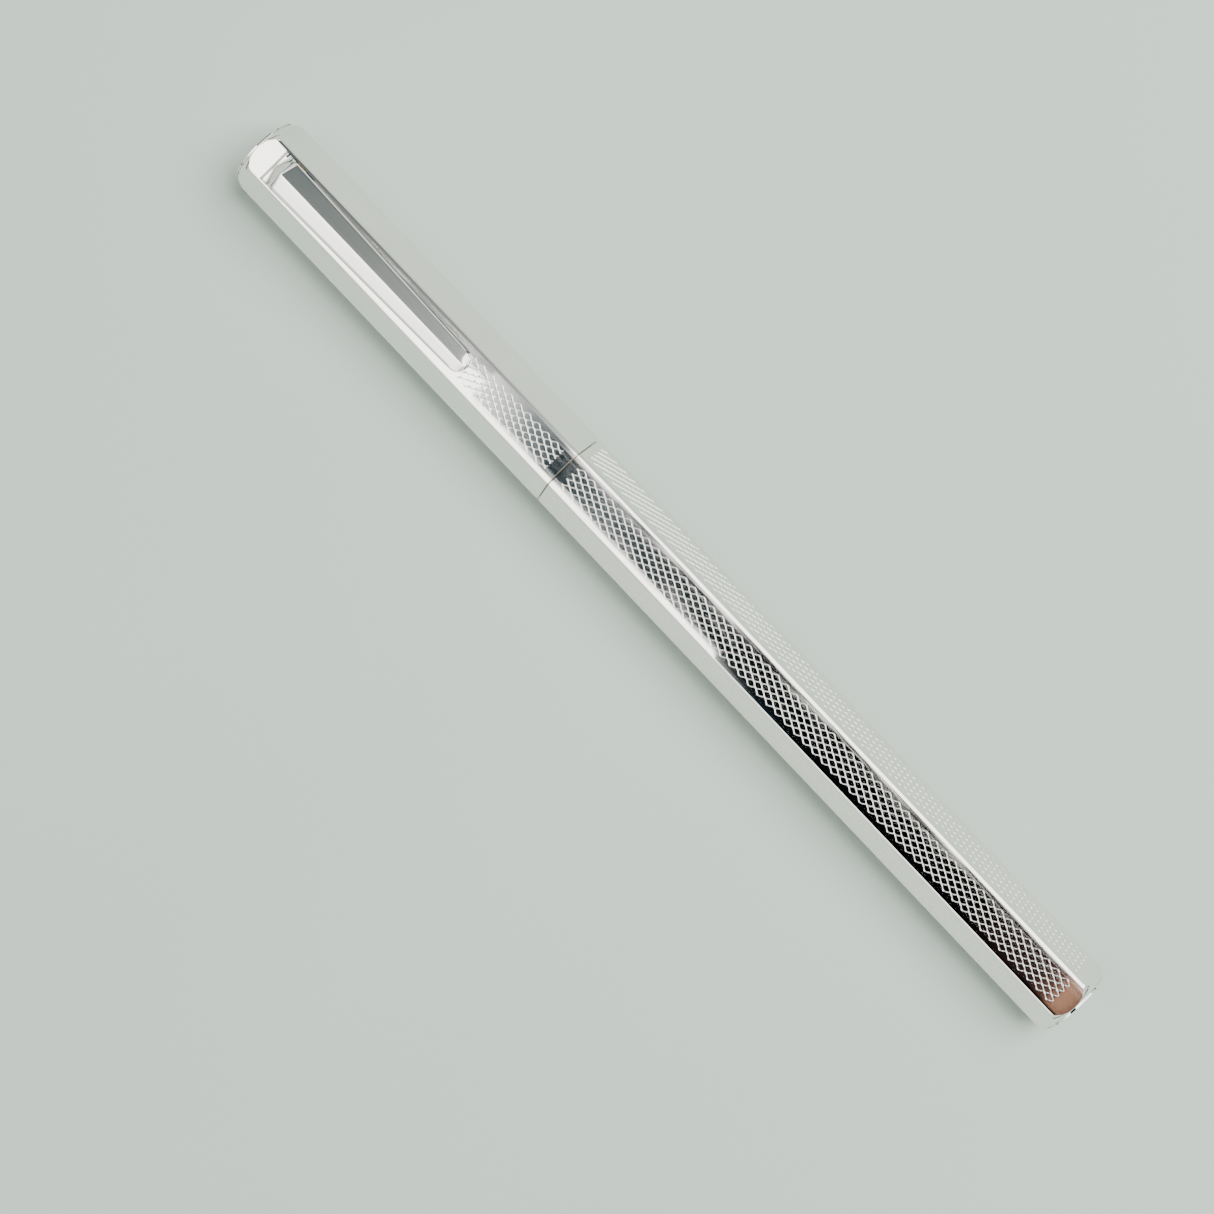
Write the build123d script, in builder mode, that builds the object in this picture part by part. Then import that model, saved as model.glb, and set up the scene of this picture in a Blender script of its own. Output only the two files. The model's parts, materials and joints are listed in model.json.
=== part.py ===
from build123d import *
from math import asin, cos, radians, sin, sqrt
import os

# Slim hexagonal fountain pen, capped, lying on one facet with its clip uppermost.
# X runs along the pen from the cap (-X) to the end of the barrel (+X), Z is up, and the
# origin is the middle of the pen's length on the facet that it lies on. Millimetres.

# Body
overall_length = 134.0
cap_length = 50.8
across_flats = 8.66
corner_radius = 0.50
shell_wall = 0.40
mouth_gap = 0.10  # the fine line between the cap and the barrel
end_wall = 1.80
end_arc_radius = 1.90  # the turned shoulder of each end
end_face_inset = 0.08  # the shoulder ends this far inside the facets

# Clearances
press_fit = 0.03
run_fit = 0.06
seat_gap = 0.05

# End plugs
plug_height = 0.40
plug_edge = 0.12
plug_groove = 0.09
plug_rim_inset = 0.10
plug_neck_inset = 0.32
plug_hole_radius = 3.30
end_stud_radius = 1.50
end_stud_length = 1.30  # past its nut
end_nut_inset = 0.20
end_nut_thickness = 2.00
end_nut_slot = 0.80

# Clip
window_start = 3.10  # from the cap's very end
window_length = 3.50
clip_start = 3.75
clip_length = 31.2
clip_width = 4.30
clip_tip_width = 2.80
clip_tip_rounding = 1.10
clip_side_gap = 0.06
clip_lift = 0.45  # gap between the clip and the facet
clip_tip_lift = 0.30
clip_flat_end = 0.90  # where the root starts to fold, and where the fold is complete
clip_fold_end = 2.40
clip_root_end = 2.50
clip_root_rise = 0.34
clip_edge_rise = 1.00
clip_ridge_rise = 1.62
clip_tip_edge_rise = 0.75
clip_tip_ridge_rise = 1.15
pad_length = 1.60
pad_setback = 1.20
pad_width = 1.60
lug_width = 2.60
lug_length = 3.10
lug_heel = 0.80  # how far the lug reaches behind the clip's root edge
lug_below_pin = 0.75
lug_room = 0.25
clip_pin_radius = 0.45
clip_pin_setback = 0.95
clip_pin_inset = 0.10
root_room = 0.35
leaf_thickness = 0.15
leaf_height = 0.40
leaf_travel = 0.18
leaf_width = 2.20

# Cap
screw_radius = 0.80
screw_head_radius = 1.50
screw_head_height = 0.90
screw_slot = 0.40
screw_grip = 1.20
screw_wall = 0.40
carrier_length = 7.40
inner_cap_wall = 0.42
inner_cap_end = 0.80
inner_cap_room = 0.30
clutch_length = 5.40
clutch_play = 0.02
clutch_lip = 0.05
clutch_lip_length = 0.60
clutch_lip_setback = 1.60
clutch_slits = 6
clutch_slit_width = 0.40
clutch_slit_length = 3.80

# Section and its joint to the barrel
section_clearance = 0.15
section_waist_step = 0.38
section_lip_step = 0.14
section_nose = 0.80
section_waist_setback = 4.50
section_lip_slope = 0.15
spigot_step = 0.33
spigot_wall = 0.40
bead_height = 0.10
bead_length = 0.80
bead_setback = 3.20
collar_length = 2.45
washer_thickness = 0.30
washer_inset = 0.13
bush_length = 6.00
bush_wall = 0.44
thread_depth = 0.35
connector_tail = 6.60
connector_lead_in = 0.60
connector_depth = 8.20
socket_depth = 1.30  # in front of the joint

# Nib and feed
nib_exposed = 16.6
nib_tip_room = 1.10
nib_thickness = 0.24
nib_tail_room = 0.25
nib_shoulder = 3.60
nib_flare = 0.36
nib_tine_radius = 1.75
nib_tine_half_width = 1.30
nib_tine_setback = 6.80
nib_tip_radius = 0.42
nib_slit = 0.12
breather_radius = 0.50
breather_setback = 9.20
housing_step = 1.00
housing_wall = 0.27
housing_web = 1.00
feed_exposed = 11.4
feed_fins = 10
feed_fin_pitch = 0.80
feed_fin_gap = 0.35
feed_core_radius = 1.00
nipple_radius = 1.00
nipple_bore = 0.35
nipple_length = 10.1

# Converter
converter_clearance = 0.05
band_wall = 0.13
reservoir_wall = 0.55
reservoir_shoulder = 0.60
neck_step = 0.80
neck_wall = 0.40
seal_length = 2.50
seal_setback = 0.10
piston_length = 4.00
piston_margin = 0.50
piston_groove = 0.35
rod_radius = 1.10
rod_half_flat = 0.75
rod_spigot_radius = 0.70
rod_spigot_length = 2.00
guide_length = 2.40
band_overlap = 8.00
band_lip = 0.60
band_lip_depth = 0.45
knob_flange = 1.40
knob_thread_length = 2.60
knob_step = 0.15
knob_gap = 0.10
knob_end_wall = 1.20
knob_end_chamfer = 0.30
knob_flutes = 18
knob_flute_radius = 0.20
rod_end_room = 0.70
rear_room = 19.3  # between the knob and the end plug's nut

# Places and radii that several pieces share
axis_height = across_flats / 2
facet = across_flats / 2  # a facet's height above the pen's axis
corner_reach = across_flats / sqrt(3) - corner_radius * (1 / cos(radians(30)) - 1)
bore_flats = across_flats - 2 * shell_wall
bore_radius = bore_flats / 2
insert_flats = bore_flats - 2 * press_fit
insert_radius = insert_flats / 2
cap_tip = -overall_length / 2
barrel_tip = overall_length / 2
cap_rim = cap_tip + plug_height
barrel_rim = barrel_tip - plug_height
cap_mouth = cap_tip + cap_length
barrel_mouth = cap_mouth + mouth_gap
cap_wall = cap_rim + end_wall
barrel_wall = barrel_rim - end_wall
plug_stem_radius = plug_hole_radius - press_fit
pen_axis = Axis((0, 0, axis_height), (1, 0, 0))
half_section = Plane(origin=(0, 0, axis_height), x_dir=(1, 0, 0), z_dir=(0, -1, 0))

clip_root = cap_tip + clip_start
window = (cap_tip + window_start, cap_tip + window_start + window_length)
window_width = clip_width + 2 * clip_side_gap
slot_floor = screw_radius + run_fit + screw_wall
lug_bottom = slot_floor + leaf_height
pin_height = lug_bottom + lug_below_pin
pin_x = clip_root + clip_pin_setback
recess_floor = pin_height + clip_pin_radius + press_fit + seat_gap
root_bottom = recess_floor + root_room
carrier_end = cap_wall + carrier_length
slot = (clip_root - lug_heel - lug_room, clip_root - lug_heel + lug_length + lug_room)

inner_cap_outer = bore_radius - press_fit
inner_cap_bore = inner_cap_outer - inner_cap_wall
inner_cap_start = carrier_end + screw_head_height + inner_cap_room
collar_back = cap_mouth - seat_gap
collar_front = collar_back - collar_length
clutch = (collar_front - seat_gap - clutch_length, collar_front - seat_gap)
section_radius = inner_cap_bore - section_clearance
bead_radius = section_radius + bead_height
spigot_radius = section_radius - spigot_step
nib_tip = inner_cap_start + inner_cap_end + nib_tip_room
section_front = nib_tip + nib_exposed

bush_bore = insert_radius - bush_wall
thread_radius = bush_bore - run_fit
connector_front = collar_back - connector_depth
connector_end = collar_back + connector_tail
converter_radius = thread_radius - thread_depth - converter_clearance
socket_radius = converter_radius - neck_step
socket_start = collar_back - socket_depth
washer_start = collar_back + seat_gap
bush_start = washer_start + washer_thickness + seat_gap
housing_radius = section_radius - housing_step
nib_radius = housing_radius - housing_wall - press_fit
feed_radius = nib_radius - nib_thickness - press_fit

band_bore = converter_radius - band_wall
reservoir_radius = band_bore - press_fit
reservoir_bore = reservoir_radius - reservoir_wall
reservoir_start = connector_end + seat_gap
neck_radius = socket_radius - press_fit
neck_bore = neck_radius - neck_wall
knob_end = barrel_wall - end_nut_thickness - rear_room
piston_forward = reservoir_start + reservoir_shoulder + piston_margin
knob_tail = knob_thread_length + rod_end_room + knob_end_wall
fixed_stack = piston_length + piston_margin + guide_length + seat_gap + knob_tail
stroke = (knob_end - piston_forward - fixed_stack) / 2
piston_front = piston_forward + stroke
guide_start = piston_front + piston_length + piston_margin
flange_start = guide_start + guide_length + seat_gap
lip_start = flange_start + knob_flange + seat_gap
rod_end = flange_start + knob_thread_length + stroke


def across(x):
    """The plane across the pen at x, with its own x across the pen and its own y up."""
    return Plane(origin=(x, 0, axis_height), x_dir=(0, 1, 0), z_dir=(1, 0, 0))


def turned(outline, mode=Mode.ADD):
    """A turned shape from its (x, radius) outline."""
    with BuildSketch(half_section) as profile:
        with BuildLine():
            Polyline(*outline, close=True)
        make_face()
    revolve(profile.sketch, axis=pen_axis, mode=mode)


def tube(start, end, outer, inner=0.0, mode=Mode.ADD):
    """A round tube or bar between two places along the pen."""
    turned([(start, inner), (end, inner), (end, outer), (start, outer)], mode)


def hexagonal(start, end, flats, rounding, mode=Mode.ADD):
    """A hexagonal bar with a facet uppermost."""
    with BuildSketch(across(start)) as profile:
        RegularPolygon(radius=flats / 2, side_count=6, major_radius=False)
        fillet(profile.vertices(), radius=rounding)
    extrude(profile.sketch, amount=end - start, mode=mode)


def block(start, end, width, low, high, mode=Mode.ADD):
    """A block centred across the pen, with its heights from the pen's axis."""
    with Locations(((start + end) / 2, 0, axis_height + (low + high) / 2)):
        Box(end - start, width, high - low, mode=mode)


def cross_pin(x, height, radius, length, mode=Mode.ADD):
    """A round pin or hole across the pen."""
    with Locations(Location((x, 0, axis_height + height), (90, 0, 0))):
        Cylinder(radius, length, mode=mode)


def shell(rim, mouth):
    """A hexagonal shell with a rounded, bored end at rim and an open end at mouth."""
    inward = 1 if mouth > rim else -1
    wall = rim + inward * end_wall
    hexagonal(min(rim, mouth), max(rim, mouth), across_flats, corner_radius)
    end_radius = facet - end_face_inset
    arc_centre = corner_reach - end_arc_radius
    half_angle = asin(sqrt(end_arc_radius**2 - (end_radius - arc_centre) ** 2) / end_arc_radius) / 2
    arc_x = rim + inward * end_arc_radius * sin(2 * half_angle)
    middle_x = arc_x - inward * end_arc_radius * sin(half_angle)
    arc_middle = (middle_x, arc_centre + end_arc_radius * cos(half_angle))
    with BuildSketch(half_section) as envelope:
        with BuildLine():
            Polyline((rim, end_radius), (rim, 0), (mouth, 0))
            Polyline((mouth, 0), (mouth, corner_reach), (arc_x, corner_reach))
            ThreePointArc((arc_x, corner_reach), arc_middle, (rim, end_radius))
        make_face()
    revolve(envelope.sketch, axis=pen_axis, mode=Mode.INTERSECT)
    hexagonal(min(wall, mouth), max(wall, mouth), bore_flats, corner_radius - press_fit, Mode.SUBTRACT)
    tube(min(rim, wall), max(rim, wall), plug_hole_radius, mode=Mode.SUBTRACT)


def plug_head(rim, outward):
    """The domed disc of an end plug, on the neck that leaves a fine groove under it."""
    disc_radius = facet - plug_rim_inset
    neck_radius = facet - plug_neck_inset
    groove = rim + outward * plug_groove
    edge = groove + outward * plug_edge
    apex = rim + outward * plug_height
    rise = plug_height - plug_groove - plug_edge
    dome_radius = (disc_radius**2 + rise**2) / (2 * rise)
    half_angle = asin(disc_radius / dome_radius) / 2
    dome_middle = (apex - outward * dome_radius * (1 - cos(half_angle)), dome_radius * sin(half_angle))
    with BuildSketch(half_section) as profile:
        with BuildLine():
            Polyline((edge, disc_radius), (groove, disc_radius), (groove, neck_radius))
            Polyline((groove, neck_radius), (rim, neck_radius), (rim, 0), (apex, 0))
            ThreePointArc((apex, 0), dome_middle, (edge, disc_radius))
        make_face()
    revolve(profile.sketch, axis=pen_axis)


# --- Cap ---

with BuildPart() as cap_shell:
    shell(cap_rim, cap_mouth)
    block(*window, window_width, bore_radius - shell_wall, facet + shell_wall, Mode.SUBTRACT)
cap_shell.part.label = "cap_shell"

with BuildPart() as cap_end_plug:
    plug_head(cap_rim, -1)
    stem_end = cap_wall - seat_gap
    tube(cap_rim, stem_end, plug_stem_radius)
    tube(stem_end - screw_grip - seat_gap, stem_end, screw_radius + press_fit, mode=Mode.SUBTRACT)
cap_end_plug.part.label = "cap_end_plug"

# The block that holds the clip's pin, with a slot for the lug and a recess for the root
with BuildPart() as clip_carrier:
    hexagonal(cap_wall, carrier_end, insert_flats, corner_radius)
    block(*slot, lug_width + 2 * run_fit, slot_floor, facet, Mode.SUBTRACT)
    block(slot[0], window[1], window_width, recess_floor, facet, Mode.SUBTRACT)
    cross_pin(pin_x, pin_height, clip_pin_radius + press_fit, across_flats, Mode.SUBTRACT)
    tube(cap_wall, carrier_end, screw_radius + run_fit, mode=Mode.SUBTRACT)
clip_carrier.part.label = "clip_carrier"

pin_reach = (insert_flats / sqrt(3) - pin_height / sqrt(3)) - clip_pin_inset - clip_pin_radius / sqrt(3)
with BuildPart() as clip_pin:
    cross_pin(pin_x, pin_height, clip_pin_radius, 2 * pin_reach)
clip_pin.part.label = "clip_pin"

with BuildPart() as cap_tie_screw:
    head_top = carrier_end + screw_head_height
    tube(stem_end - screw_grip, carrier_end, screw_radius)
    tube(carrier_end, head_top, screw_head_radius)
    block(head_top - screw_slot, head_top, across_flats, -screw_slot / 2, screw_slot / 2, Mode.SUBTRACT)
cap_tie_screw.part.label = "cap_tie_screw"

# A bent leaf that lies on the slot's floor and presses up under the lug's heel
with BuildPart() as clip_leaf_spring:
    leaf_start = slot[0] + 2 * seat_gap
    leaf_flat = pin_x
    leaf_end = slot[1] - 2 * seat_gap
    leaf_tip = slot_floor + leaf_height - leaf_travel
    with BuildSketch(half_section) as leaf_profile:
        with BuildLine():
            Polyline(
                (leaf_end, slot_floor),
                (leaf_flat, slot_floor),
                (leaf_start, leaf_tip - leaf_thickness),
                (leaf_start, leaf_tip),
                (leaf_flat, slot_floor + leaf_thickness),
                (leaf_end, slot_floor + leaf_thickness),
                close=True,
            )
        make_face()
    extrude(leaf_profile.sketch, amount=leaf_width / 2, both=True)
clip_leaf_spring.part.label = "clip_leaf_spring"

# The clip is flat at its root and folds into a roof with a ridge along its middle.
# Each station gives the place, the width, and how far its edges and its ridge rise above the facet.
clip_end = clip_root + clip_length
clip_stations = [
    (clip_root, clip_width, 0, 0),
    (clip_root + clip_flat_end, clip_width, clip_root_rise, clip_root_rise),
    (clip_root + clip_fold_end, clip_width, clip_edge_rise, clip_ridge_rise),
    (clip_end, clip_tip_width, clip_tip_edge_rise, clip_tip_ridge_rise),
]
with BuildPart() as clip:
    roofs = []
    for x, width, edge_rise, ridge_rise in clip_stations:
        with BuildSketch(across(x)) as roof:
            with BuildLine():
                Polyline(
                    (-width / 2, root_bottom),
                    (width / 2, root_bottom),
                    (width / 2, facet + edge_rise),
                    (0, facet + ridge_rise),
                    (-width / 2, facet + edge_rise),
                    close=True,
                )
            make_face()
        roofs.append(roof.sketch)
    loft(roofs, ruled=True)
    with BuildSketch(Plane.XY) as clip_plan:
        with BuildLine():
            Polyline(
                (clip_root, -clip_width / 2),
                (clip_root + clip_fold_end, -clip_width / 2),
                (clip_end, -clip_tip_width / 2),
                (clip_end, clip_tip_width / 2),
                (clip_root + clip_fold_end, clip_width / 2),
                (clip_root, clip_width / 2),
                close=True,
            )
        make_face()
        fillet(clip_plan.vertices().group_by(Axis.X)[-1], radius=clip_tip_rounding)
    extrude(clip_plan.sketch, amount=2 * across_flats, mode=Mode.INTERSECT)
    # Cut away below, so that the clip stands clear of the facet in front of its root
    with BuildSketch(half_section) as clearance:
        with BuildLine():
            Polyline(
                (clip_root + clip_root_end, 0),
                (clip_root + clip_root_end, facet + clip_lift),
                (clip_end + clip_lift, facet + clip_tip_lift),
                (clip_end + clip_lift, 0),
                close=True,
            )
        make_face()
    extrude(clearance.sketch, amount=clip_width, both=True, mode=Mode.SUBTRACT)
    pad_end = clip_end - pad_setback
    block(pad_end - pad_length, pad_end, pad_width, facet + press_fit, facet + clip_lift)
    block(clip_root - lug_heel, clip_root, lug_width, lug_bottom, pin_height + clip_pin_radius)
    block(clip_root, clip_root - lug_heel + lug_length, lug_width, lug_bottom, root_bottom)
    cross_pin(pin_x, pin_height, clip_pin_radius + run_fit, across_flats, Mode.SUBTRACT)
clip.part.label = "clip"

with BuildPart() as inner_cap:
    tube(inner_cap_start, clutch[0] - seat_gap, inner_cap_outer)
    tube(inner_cap_start + inner_cap_end, clutch[0] - seat_gap, inner_cap_bore, mode=Mode.SUBTRACT)
inner_cap.part.label = "inner_cap"

# A spring sleeve with slit fingers, whose lip snaps behind the section's bead
with BuildPart() as clutch_ring:
    tube(*clutch, inner_cap_outer, bead_radius + clutch_play + clutch_lip)
    lip_end = clutch[1] - clutch_lip_setback
    tube(lip_end - clutch_lip_length, lip_end, inner_cap_outer, bead_radius + clutch_play)
    slit_start = clutch[1] - clutch_slit_length
    with Locations(Location((slit_start, 0, axis_height), (0, 90, 0))):
        with PolarLocations(inner_cap_outer, clutch_slits):
            Box(
                2 * inner_cap_wall + clutch_lip,
                clutch_slit_width,
                clutch_slit_length,
                align=(Align.CENTER, Align.CENTER, Align.MIN),
                mode=Mode.SUBTRACT,
            )
clutch_ring.part.label = "clutch_ring"

# --- Front ---

waist_radius = section_radius - section_waist_step
lip_radius = section_radius - section_lip_step
grip_back = collar_front - bead_setback - bead_length
lip_back = section_front + section_nose
waist = lip_back + section_waist_setback
bead_back = collar_front - bead_setback + bead_length / 2
bead_front = bead_back - bead_length
section_bore = housing_radius + press_fit
spigot_bore = spigot_radius - spigot_wall
with BuildPart() as section:
    with BuildSketch(half_section) as grip:
        with BuildLine():
            Polyline(
                (lip_back, lip_radius),
                (section_front, section_bore + section_nose / 2),
                (section_front, section_bore),
                (collar_back, section_bore),
                (collar_back, spigot_radius),
                (collar_front, spigot_radius),
                (collar_front, section_radius),
                (bead_back, section_radius),
            )
            ThreePointArc(
                (bead_back, section_radius),
                ((bead_back + bead_front) / 2, bead_radius),
                (bead_front, section_radius),
            )
            Line((bead_front, section_radius), (grip_back, section_radius))
            Spline((grip_back, section_radius), (waist, waist_radius), tangents=[(-1, 0), (-1, 0)])
            lip_slope = (-1, section_lip_slope)
            Spline((waist, waist_radius), (lip_back, lip_radius), tangents=[(-1, 0), lip_slope])
        make_face()
    revolve(grip.sketch, axis=pen_axis)
    tube(connector_front, collar_back, spigot_bore, mode=Mode.SUBTRACT)
section.part.label = "section"

with BuildPart() as section_collar:
    hexagonal(collar_front, collar_back, insert_flats, corner_radius)
    tube(collar_front, collar_back, spigot_radius + press_fit, mode=Mode.SUBTRACT)
section_collar.part.label = "section_collar"

with BuildPart() as threaded_connector:
    spigot = spigot_bore - press_fit
    turned(
        [
            (connector_front, 0),
            (connector_front, spigot),
            (collar_back, spigot),
            (collar_back, thread_radius),
            (connector_end - connector_lead_in, thread_radius),
            (connector_end, thread_radius - thread_depth),
            (connector_end, 0),
        ]
    )
    tube(socket_start, connector_end, socket_radius, mode=Mode.SUBTRACT)
    tube(connector_front, socket_start, nipple_radius + press_fit, mode=Mode.SUBTRACT)
threaded_connector.part.label = "threaded_connector"

with BuildPart() as joint_washer:
    tube(washer_start, washer_start + washer_thickness, bore_radius - washer_inset, bush_bore)
joint_washer.part.label = "joint_washer"

housing_bore = housing_radius - housing_wall
with BuildPart() as feed_housing:
    tube(section_front + seat_gap, connector_front, housing_radius)
    tube(section_front + seat_gap, connector_front - housing_web, housing_bore, mode=Mode.SUBTRACT)
    tube(connector_front, connector_front + nipple_length, nipple_radius)
    tube(connector_front - housing_web, connector_front + nipple_length, nipple_bore, mode=Mode.SUBTRACT)
feed_housing.part.label = "feed_housing"


def nib_curve(inset):
    """The nib's top line, from the section to the tip, moved in towards the pen's axis."""
    return [
        (section_front, nib_radius - inset),
        (section_front - nib_shoulder, nib_radius + nib_flare - inset),
        (nib_tip + nib_tine_setback, nib_tine_radius - inset),
        (nib_tip, nib_tip_radius - inset),
    ]


def under_nib(inset):
    """The area between the nib's top line and the pen's axis."""
    line = nib_curve(inset)
    with BuildSketch(half_section) as area:
        with BuildLine():
            Spline(*line)
            Polyline(line[-1], (nib_tip, 0), (nib_tail_end, 0), (nib_tail_end, line[0][1]), line[0])
        make_face()
    return area.sketch


# A sheet curved round the feed, with its outline cut in plan, a breather hole and a slit
nib_tail_end = connector_front - housing_web - nib_tail_room
nib_widest = section_front - nib_shoulder
with BuildPart() as nib:
    revolve(under_nib(0) - under_nib(nib_thickness), axis=pen_axis)
    with BuildSketch(Plane.XY.offset(axis_height)) as nib_plan:
        for side in (1, -1):
            with BuildLine():
                Spline(
                    (nib_widest, side * (nib_radius + nib_flare)),
                    (nib_tip + nib_tine_setback, side * nib_tine_half_width),
                    (nib_tip, side * nib_tip_radius),
                )
                Polyline(
                    (nib_tip, side * nib_tip_radius),
                    (nib_tip, 0),
                    (nib_tail_end, 0),
                    (nib_tail_end, side * (nib_radius + nib_flare)),
                    (nib_widest, side * (nib_radius + nib_flare)),
                )
            make_face()
    extrude(nib_plan.sketch, amount=across_flats, mode=Mode.INTERSECT)
    with Locations((nib_tip + nib_tip_radius, 0, axis_height + nib_tip_radius / 2)):
        Sphere(nib_tip_radius)
    with Locations((nib_tip + breather_setback, 0, axis_height + nib_radius)):
        Cylinder(breather_radius, 2 * nib_radius, mode=Mode.SUBTRACT)
    block(nib_tip - nib_tip_radius, nib_tip + breather_setback, nib_slit, -facet, facet, Mode.SUBTRACT)
nib.part.label = "nib"

feed_tip = section_front - feed_exposed
feed_back = connector_front - housing_web
with BuildPart() as feed:
    revolve(under_nib(nib_thickness + seat_gap), axis=pen_axis)
    block(nib_tip, feed_tip, across_flats, -facet, facet, Mode.SUBTRACT)
    tube(section_front, feed_back, nib_radius)
    with BuildSketch(across(section_front)) as nib_seat:
        Circle(nib_radius + run_fit)
        Circle(feed_radius, mode=Mode.SUBTRACT)
        with Locations((0, -across_flats / 2)):
            Rectangle(across_flats, across_flats - 2 * run_fit, mode=Mode.SUBTRACT)
    extrude(nib_seat.sketch, amount=nib_tail_end + seat_gap - section_front, mode=Mode.SUBTRACT)
    for fin in range(feed_fins):
        gap_start = feed_tip + feed_fin_pitch * (fin + 1)
        block(gap_start, gap_start + feed_fin_gap, across_flats, -facet, -feed_core_radius, Mode.SUBTRACT)
feed.part.label = "feed"

# --- Barrel ---

with BuildPart() as barrel_shell:
    shell(barrel_rim, barrel_mouth)
barrel_shell.part.label = "barrel_shell"

with BuildPart() as barrel_thread_bush:
    hexagonal(bush_start, bush_start + bush_length, insert_flats, corner_radius)
    tube(bush_start, bush_start + bush_length, bush_bore, mode=Mode.SUBTRACT)
barrel_thread_bush.part.label = "barrel_thread_bush"

nut_start = barrel_wall - seat_gap - end_nut_thickness
with BuildPart() as barrel_end_plug:
    plug_head(barrel_rim, 1)
    tube(barrel_wall - seat_gap, barrel_rim, plug_stem_radius)
    tube(nut_start - end_stud_length, barrel_wall - seat_gap, end_stud_radius)
barrel_end_plug.part.label = "barrel_end_plug"

with BuildPart() as barrel_end_nut:
    slot_reach = end_nut_slot / 2
    tube(nut_start, barrel_wall - seat_gap, bore_radius - end_nut_inset, end_stud_radius + press_fit)
    block(nut_start, nut_start + end_nut_slot, across_flats, -slot_reach, slot_reach, Mode.SUBTRACT)
barrel_end_nut.part.label = "barrel_end_nut"

# --- Converter ---

neck_front = socket_start + seat_gap
with BuildPart() as converter_reservoir:
    tube(neck_front, reservoir_start, neck_radius)
    tube(reservoir_start, guide_start, reservoir_radius)
    tube(neck_front, reservoir_start + reservoir_shoulder, neck_bore, mode=Mode.SUBTRACT)
    tube(reservoir_start + reservoir_shoulder, guide_start, reservoir_bore, mode=Mode.SUBTRACT)
converter_reservoir.part.label = "converter_reservoir"

seal_start = neck_front + seal_setback
with BuildPart() as converter_seal:
    tube(seal_start, seal_start + seal_length, neck_bore - press_fit, nipple_radius + press_fit)
converter_seal.part.label = "converter_seal"

with BuildPart() as converter_band:
    tube(guide_start - band_overlap, lip_start, converter_radius, band_bore)
    tube(lip_start, lip_start + band_lip, converter_radius, band_bore - band_lip_depth)
converter_band.part.label = "converter_band"

# The rod slides through this plate, which is flat-sided as the rod is
with BuildPart() as piston_guide:
    tube(guide_start, guide_start + guide_length, reservoir_radius)
    with BuildSketch(across(guide_start)) as guide_hole:
        Circle(rod_radius + run_fit)
        Rectangle(across_flats, 2 * (rod_half_flat + run_fit), mode=Mode.INTERSECT)
    extrude(guide_hole.sketch, amount=guide_length, mode=Mode.SUBTRACT)
piston_guide.part.label = "piston_guide"

piston_back = piston_front + piston_length
with BuildPart() as piston_rod:
    tube(piston_back, rod_end, rod_radius)
    block(piston_back, rod_end, across_flats, -rod_half_flat, rod_half_flat, Mode.INTERSECT)
    tube(piston_back - rod_spigot_length, piston_back, rod_spigot_radius)
piston_rod.part.label = "piston_rod"

with BuildPart() as piston_seal:
    lip = reservoir_bore - press_fit
    groove = (piston_front + piston_length / 3, piston_back - piston_length / 3)
    rod_seat = piston_back - rod_spigot_length - seat_gap
    tube(piston_front, piston_back, lip)
    tube(*groove, across_flats, lip - piston_groove, Mode.SUBTRACT)
    tube(rod_seat, piston_back, rod_spigot_radius + press_fit, mode=Mode.SUBTRACT)
piston_seal.part.label = "piston_seal"

grip_start = lip_start + band_lip + knob_gap
knob_radius = converter_radius - knob_step
with BuildPart() as converter_knob:
    tube(flange_start, flange_start + knob_flange, band_bore - run_fit)
    tube(flange_start, grip_start, band_bore - band_lip_depth - run_fit)
    turned(
        [
            (grip_start, 0),
            (grip_start, knob_radius),
            (knob_end - knob_end_chamfer, knob_radius),
            (knob_end, knob_radius - knob_end_chamfer),
            (knob_end, 0),
        ]
    )
    tube(flange_start, rod_end + rod_end_room, rod_radius + run_fit, mode=Mode.SUBTRACT)
    with Locations(Location((grip_start + knob_flange, 0, axis_height), (0, 90, 0))):
        with PolarLocations(knob_radius, knob_flutes):
            Cylinder(
                knob_flute_radius,
                knob_end - grip_start,
                align=(Align.CENTER, Align.CENTER, Align.MIN),
                mode=Mode.SUBTRACT,
            )
converter_knob.part.label = "converter_knob"

pieces = [
    cap_shell,
    cap_end_plug,
    clip_carrier,
    clip_pin,
    clip_leaf_spring,
    cap_tie_screw,
    clip,
    inner_cap,
    clutch_ring,
    section,
    section_collar,
    threaded_connector,
    joint_washer,
    feed_housing,
    nib,
    feed,
    barrel_shell,
    barrel_thread_bush,
    barrel_end_plug,
    barrel_end_nut,
    converter_reservoir,
    converter_seal,
    converter_band,
    piston_guide,
    piston_rod,
    piston_seal,
    converter_knob,
]
os.makedirs("parts", exist_ok=True)
for piece in pieces:
    export_step(piece.part, f"parts/{piece.part.label}.step")
print("piston stroke", round(stroke, 3))
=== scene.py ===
import json
import math
import bmesh
import bpy
from mathutils import Matrix, Vector


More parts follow.
